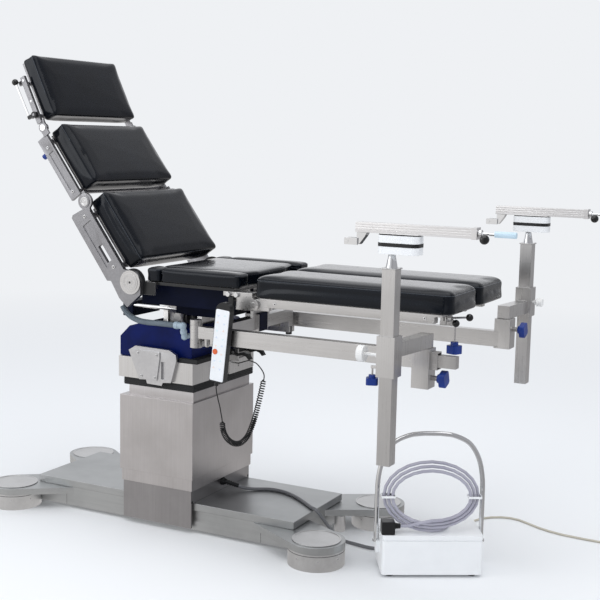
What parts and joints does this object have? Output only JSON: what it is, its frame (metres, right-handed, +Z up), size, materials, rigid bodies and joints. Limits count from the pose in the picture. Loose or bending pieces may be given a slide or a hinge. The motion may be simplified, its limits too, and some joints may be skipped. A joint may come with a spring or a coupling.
{
  "type": "orthopedic operating table",
  "caption": "Column-based surgical table with folding back, split leg plates and two traction units on swinging outrigger bars.",
  "frame": {"origin": "on the floor under the column's centre, at the centre foot's underside", "axes": "+X to the foot end, +Y to the side away from the handset, +Z up"},
  "size_m": [2.484, 1.1266, 1.7189],
  "materials": {
    "steel": "brushed",
    "sheet": "vertical grain",
    "bright": "satin",
    "chrome": "polished",
    "foot": "cast, painted",
    "navy": "satin",
    "navy_plastic": "satin",
    "knob_blue": "gloss",
    "black_rubber": "matt",
    "black_plastic": "satin",
    "pad": "satin",
    "white_plastic": "gloss",
    "hose": "satin",
    "cable_grey": "satin",
    "coil_cable": "satin",
    "cord_black": "satin",
    "lead_beige": "satin",
    "key_orange": "satin"
  },
  "bodies": {
    "base": {"base_chassis": "steel", "foot_pods": "foot", "lower_cover": "sheet", "cable_gland": "black_rubber", "supply_cable": "cable_grey", "power_box": "white_plastic", "power_handle": "chrome", "power_coil": "coil_cable", "mains_lead": "lead_beige", "mains_plug": "white_plastic"},
    "column_mid": {"mid_stage": "sheet"},
    "head": {"outer_sleeve": "sheet", "column_collar": "black_rubber", "head_block": "steel", "cheek_brackets": "bright", "head_cover": "navy"},
    "hand_lever_a": {"hand_lever_a": "black_plastic"},
    "hand_lever_b": {"hand_lever_b": "black_plastic"},
    "tilt_cross": {"tilt_cross": "steel"},
    "seat": {"seat_frame": "steel", "seat_covers": "navy_plastic", "seat_pads": "pad", "cross_clamp": "navy"},
    "release_levers": {"release_levers": "black_plastic"},
    "back_lower": {"back_frame": "bright", "back_pad": "pad", "air_hose": "hose"},
    "back_mid": {"mid_frame": "bright", "mid_pad": "pad"},
    "headrest": {"headrest_frame": "bright", "headrest_pad": "pad"},
    "headrest_lever": {"headrest_lever": "black_plastic"},
    "leg_near": {"leg_near_frame": "steel", "leg_near_pad": "pad"},
    "leg_near_lever": {"leg_near_lever": "black_plastic"},
    "leg_far": {"leg_far_frame": "steel", "leg_far_pad": "pad"},
    "leg_far_lever": {"leg_far_lever": "black_plastic"},
    "bar_near": {"bar_near": "steel", "handset": "black_plastic", "handset_cord": "cord_black"},
    "handset_key": {"handset_key": "key_orange"},
    "bar_far": {"bar_far": "steel"},
    "block_near": {"block_near": "steel"},
    "block_knob_near": {"block_knob_near": "knob_blue"},
    "arm_near": {"arm_near": "steel"},
    "arm_knob_near": {"arm_knob_near": "white_plastic"},
    "post_near": {"post_near_tube": "steel"},
    "traction_head_near": {"rail_near": "bright"},
    "boot_near": {"boot_near": "steel"},
    "crank_near": {"crank_near": "chrome"},
    "block_far": {"block_far": "steel"},
    "block_knob_far": {"block_knob_far": "knob_blue"},
    "arm_far": {"arm_far": "steel"},
    "arm_knob_far": {"arm_knob_far": "white_plastic"},
    "post_far": {"post_far_tube": "steel"},
    "traction_head_far": {"rail_far": "bright"},
    "boot_far": {"boot_far": "steel"},
    "crank_far": {"crank_far": "chrome"}
  },
  "joints": [
    {"name": "lift", "type": "slide", "parent": "base", "child": "head", "axis": [0, 0, 1], "range_m": [0, 0.2]},
    {"name": "mid_slide", "type": "slide", "parent": "base", "child": "column_mid", "axis": [0, 0, 1], "range_m": [0, 0.1001]},
    {"name": "lateral_tilt", "type": "hinge", "parent": "head", "child": "tilt_cross", "pos_m": [0, 0, 0.77], "axis": [1, 0, 0], "range_deg": [-10, 10]},
    {"name": "seat_pitch", "type": "hinge", "parent": "tilt_cross", "child": "seat", "pos_m": [0, 0, 0.77], "axis": [0, 1, 0], "range_deg": [-10, 10], "deforming": ["handset_cord"]},
    {"name": "hand_lever_a_turn", "type": "hinge", "parent": "head", "child": "hand_lever_a", "pos_m": [0.186, 0.0215, 0.642], "axis": [0, 1, 0], "range_deg": [-20, 20]},
    {"name": "hand_lever_b_turn", "type": "hinge", "parent": "head", "child": "hand_lever_b", "pos_m": [0.186, 0.1215, 0.642], "axis": [0, 1, 0], "range_deg": [-20, 20]},
    {"name": "release_turn", "type": "hinge", "parent": "seat", "child": "release_levers", "pos_m": [0.336, 0, 0.88], "axis": [0, 1, 0], "range_deg": [-30, 0], "stiffness_Nm_per_rad": 0.8, "springref_deg": 20.05},
    {"name": "back_fold", "type": "hinge", "parent": "seat", "child": "back_lower", "pos_m": [-0.063, 0, 0.914], "axis": [0, 1, 0], "range_deg": [-53.5, 12], "deforming": ["air_hose"]},
    {"name": "back_upper_fold", "type": "hinge", "parent": "back_lower", "child": "back_mid", "pos_m": [-0.264, 0, 1.192], "axis": [0, 1, 0], "range_deg": [-25, 30]},
    {"name": "headrest_fold", "type": "hinge", "parent": "back_mid", "child": "headrest", "pos_m": [-0.455, 0, 1.452], "axis": [0, 1, 0], "range_deg": [-40, 20]},
    {"name": "headrest_lever_turn", "type": "hinge", "parent": "headrest", "child": "headrest_lever", "pos_m": [-0.48813, -0.287, 1.49824], "axis": [0, 1, 0], "range_deg": [-60, 3]},
    {"name": "leg_near_fold", "type": "hinge", "parent": "seat", "child": "leg_near", "pos_m": [0.417, -0.23, 0.868], "axis": [0, 1, 0], "range_deg": [-10, 22]},
    {"name": "leg_near_lever_turn", "type": "hinge", "parent": "leg_near", "child": "leg_near_lever", "pos_m": [1.09, -0.15, 0.872], "axis": [1, 0, 0], "range_deg": [-20, 10]},
    {"name": "leg_far_fold", "type": "hinge", "parent": "seat", "child": "leg_far", "pos_m": [0.417, 0.23, 0.868], "axis": [0, 1, 0], "range_deg": [-10, 90]},
    {"name": "leg_far_lever_turn", "type": "hinge", "parent": "leg_far", "child": "leg_far_lever", "pos_m": [0.98, 0.15, 0.872], "axis": [1, 0, 0], "range_deg": [-20, 20]},
    {"name": "bar_near_swing", "type": "hinge", "parent": "seat", "child": "bar_near", "pos_m": [0.216, -0.29, 0.757], "axis": [0, 0, 1], "range_deg": [-40, 0]},
    {"name": "bar_far_swing", "type": "hinge", "parent": "seat", "child": "bar_far", "pos_m": [0.216, 0.29, 0.744], "axis": [0, 0, 1], "range_deg": [0, 40]},
    {"name": "handset_key_press", "type": "slide", "parent": "bar_near", "child": "handset_key", "axis": [0, 1, 0], "range_m": [0, 0.0006], "stiffness_N_per_m": 500},
    {"name": "block_near_slide", "type": "slide", "parent": "bar_near", "child": "block_near", "axis": [1, 0, 0], "range_m": [-0.57, 0.02]},
    {"name": "block_knob_near_turn", "type": "hinge", "parent": "block_near", "child": "block_knob_near", "pos_m": [1.088, -0.293, 0.7009], "axis": [1, 0, 0], "continuous": true},
    {"name": "arm_near_turn", "type": "hinge", "parent": "block_near", "child": "arm_near", "pos_m": [1.059, -0.293, 0.81], "axis": [0, 0, 1], "range_deg": [-45, 45]},
    {"name": "arm_knob_near_turn", "type": "hinge", "parent": "arm_near", "child": "arm_knob_near", "pos_m": [1.036, -0.518, 0.7995], "axis": [1, 0, 0], "continuous": true},
    {"name": "post_near_slide", "type": "slide", "parent": "arm_near", "child": "post_near", "axis": [0, 0, 1], "range_m": [-0.18, 0.2]},
    {"name": "rail_near_swivel", "type": "hinge", "parent": "post_near", "child": "traction_head_near", "pos_m": [1.036, -0.518, 1.11], "axis": [0, 0, 1], "range_deg": [-60, 60]},
    {"name": "boot_near_feed", "type": "slide", "parent": "traction_head_near", "child": "boot_near", "axis": [1, 0, 0], "range_m": [0, 0.0301]},
    {"name": "crank_near_turn", "type": "hinge", "parent": "traction_head_near", "child": "crank_near", "pos_m": [1.036, -0.518, 1.1784], "axis": [1, 0, 0], "range_deg": [0, 2160]},
    {"name": "block_far_slide", "type": "slide", "parent": "bar_far", "child": "block_far", "axis": [1, 0, 0], "range_m": [0, 0.15]},
    {"name": "block_knob_far_turn", "type": "hinge", "parent": "block_far", "child": "block_knob_far", "pos_m": [1.16, 0.3, 0.781], "axis": [1, 0, 0], "continuous": true},
    {"name": "arm_far_turn", "type": "hinge", "parent": "block_far", "child": "arm_far", "pos_m": [1.131, 0.3, 0.81], "axis": [0, 0, 1], "range_deg": [-45, 45]},
    {"name": "arm_knob_far_turn", "type": "hinge", "parent": "arm_far", "child": "arm_knob_far", "pos_m": [1.147, 0.482, 0.859], "axis": [1, 0, 0], "continuous": true},
    {"name": "post_far_slide", "type": "slide", "parent": "arm_far", "child": "post_far", "axis": [0, 0, 1], "range_m": [-0.14, 0.2]},
    {"name": "rail_far_swivel", "type": "hinge", "parent": "post_far", "child": "traction_head_far", "pos_m": [1.147, 0.482, 1.11], "axis": [0, 0, 1], "range_deg": [-60, 60]},
    {"name": "boot_far_feed", "type": "slide", "parent": "traction_head_far", "child": "boot_far", "axis": [1, 0, 0], "range_m": [0, 0.0301]},
    {"name": "crank_far_turn", "type": "hinge", "parent": "traction_head_far", "child": "crank_far", "pos_m": [1.147, 0.482, 1.1884], "axis": [1, 0, 0], "range_deg": [0, 2160]}
  ],
  "couplings": [
    {"joint": "mid_slide", "follows": "lift", "ratio": 0.5},
    {"joint": "boot_near_feed", "follows": "crank_near_turn", "m_per_rad": 0.00079577},
    {"joint": "boot_far_feed", "follows": "crank_far_turn", "m_per_rad": 0.00079577}
  ]
}
